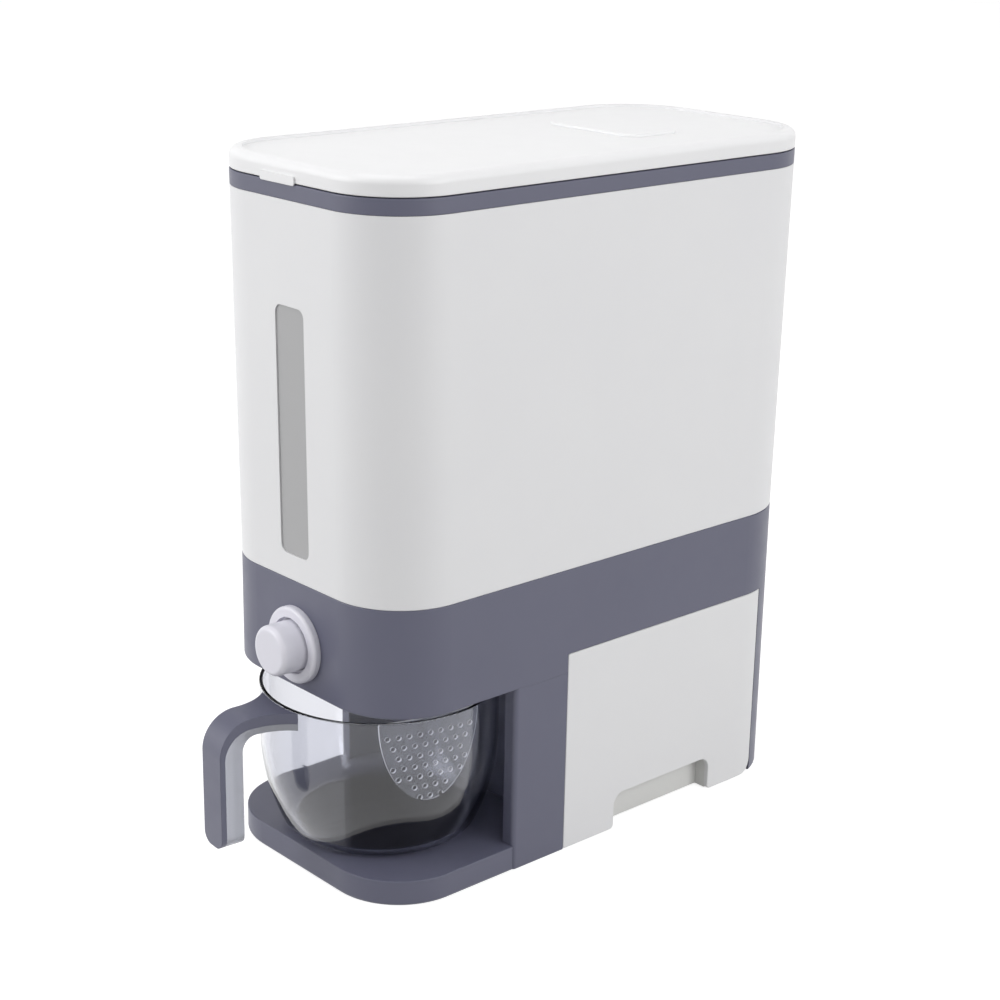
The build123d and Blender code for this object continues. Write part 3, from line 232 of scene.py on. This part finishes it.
# camera, solved from the outlines in the photograph; the angles are in degrees
photoView = {"at": (0.885195, -0.816583, 0.588806), "azimuth": 47.8878, "elevation": 18.0605,
             "roll": 1.0635, "lens": 73.375, "sensor": 36, "clipEnd": 30}
azimuth, elevation, roll = (math.radians(photoView[k]) for k in ("azimuth", "elevation", "roll"))
back = Vector((math.sin(azimuth) * math.cos(elevation), -math.cos(azimuth) * math.cos(elevation),
               math.sin(elevation)))
right = Vector((math.cos(azimuth), math.sin(azimuth), 0))
up = back.cross(right)
turnedRight = right * math.cos(roll) + up * math.sin(roll)
turnedUp = up * math.cos(roll) - right * math.sin(roll)
cameraData = bpy.data.cameras.new("photoCamera")
cameraData.lens = photoView["lens"]
cameraData.sensor_width = photoView["sensor"]
cameraData.clip_end = photoView["clipEnd"]
camera = bpy.data.objects.new("photoCamera", cameraData)
turn = Matrix((turnedRight, turnedUp, back)).transposed()
camera.matrix_world = Matrix.Translation(Vector(photoView["at"])) @ turn.to_4x4()
bpy.context.scene.collection.objects.link(camera)
bpy.context.scene.camera = camera
print("camera set")

# a glow lifts the lit floor to white where it is seen, and leaves the object's shadow on it;
# light that bounces off the floor finds it grey
floorLook = {"half": 6.0, "grey": (0.42, 0.42, 0.42, 1), "rough": 0.9, "glow": 0.8}
half = floorLook["half"]
floorMesh = bpy.data.meshes.new("floor")
floorMesh.from_pydata([(-half, -half, 0), (half, -half, 0), (half, half, 0), (-half, half, 0)], [],
                      [(0, 1, 2, 3)])
floor = bpy.data.objects.new("floor", floorMesh)
bpy.context.scene.collection.objects.link(floor)
floorMaterial, tree = newMaterial("paleFloor")
matt = addNode(tree, "ShaderNodeBsdfPrincipled",
               {"Base Color": floorLook["grey"], "Roughness": floorLook["rough"]})
glow = addNode(tree, "ShaderNodeEmission", {"Color": white, "Strength": floorLook["glow"]})
lifted = addNode(tree, "ShaderNodeAddShader", {}, {0: matt.outputs["BSDF"], 1: glow.outputs["Emission"]})
path = addNode(tree, "ShaderNodeLightPath")
shown = path.outputs["Is Camera Ray"]
for ray in ("Is Glossy Ray", "Is Transmission Ray"):
    either = addNode(tree, "ShaderNodeMath", {"operation": "MAXIMUM"}, {0: shown, 1: path.outputs[ray]})
    shown = either.outputs["Value"]
blend = addNode(tree, "ShaderNodeMixShader", {},
                {"Fac": shown, 1: matt.outputs["BSDF"], 2: lifted.outputs["Shader"]})
addNode(tree, "ShaderNodeOutputMaterial", {}, {"Surface": blend.outputs["Shader"]})
floorMesh.materials.append(floorMaterial)
print("floor set")

# the sky is plain white to the camera and a dim fill on matt faces; mirrored and refracted rays
# find it white up to a darker ceiling
skyLook = {"fill": 0.38, "ceiling": 0.2, "fadeFrom": 0.5, "fadeTo": 0.8}
world = bpy.data.worlds.new("studio")
bpy.context.scene.world = world
world.use_nodes = True
sky = world.node_tree
sky.nodes.clear()
path = addNode(sky, "ShaderNodeLightPath")
seen = addNode(sky, "ShaderNodeBackground", {"Color": white, "Strength": 1.0})
fill = addNode(sky, "ShaderNodeBackground", {"Color": white, "Strength": skyLook["fill"]})
height = addNode(sky, "ShaderNodeSeparateXYZ", {},
                 {"Vector": addNode(sky, "ShaderNodeTexCoord").outputs["Generated"]})
fade = addNode(sky, "ShaderNodeMapRange",
               {"From Min": skyLook["fadeFrom"], "From Max": skyLook["fadeTo"],
                "To Min": 1.0, "To Max": skyLook["ceiling"]},
               {"Value": height.outputs["Z"]})
mirrored = addNode(sky, "ShaderNodeBackground", {"Color": white}, {"Strength": fade.outputs["Result"]})
bounced = addNode(sky, "ShaderNodeMixShader", {},
                  {"Fac": path.outputs["Is Diffuse Ray"], 1: mirrored.outputs["Background"],
                   2: fill.outputs["Background"]})
choice = addNode(sky, "ShaderNodeMixShader", {},
                 {"Fac": path.outputs["Is Camera Ray"], 1: bounced.outputs["Shader"],
                  2: seen.outputs["Background"]})
addNode(sky, "ShaderNodeOutputWorld", {}, {"Surface": choice.outputs["Shader"]})

# three large soft boxes that face the object
lights = {
    "topBox": {"at": (0.1, -0.4, 2.2), "size": 2.0, "power": 18.5},
    "frontBox": {"at": (-1.2, -2.0, 1.1), "size": 1.6, "power": 33},
    "sideBox": {"at": (2.2, 0.7, 1.1), "size": 1.6, "power": 29.5},
}
target = Vector((0, 0, 0.2))
for name, setting in lights.items():
    lamp = bpy.data.lights.new(name, "AREA")
    lamp.shape = "SQUARE"
    lamp.size = setting["size"]
    lamp.energy = setting["power"]
    holder = bpy.data.objects.new(name, lamp)
    holder.location = setting["at"]
    holder.rotation_euler = (target - holder.location).to_track_quat("-Z", "Y").to_euler()
    bpy.context.scene.collection.objects.link(holder)
bpy.context.scene.view_settings.view_transform = "Standard"
print("light set", len(lights))
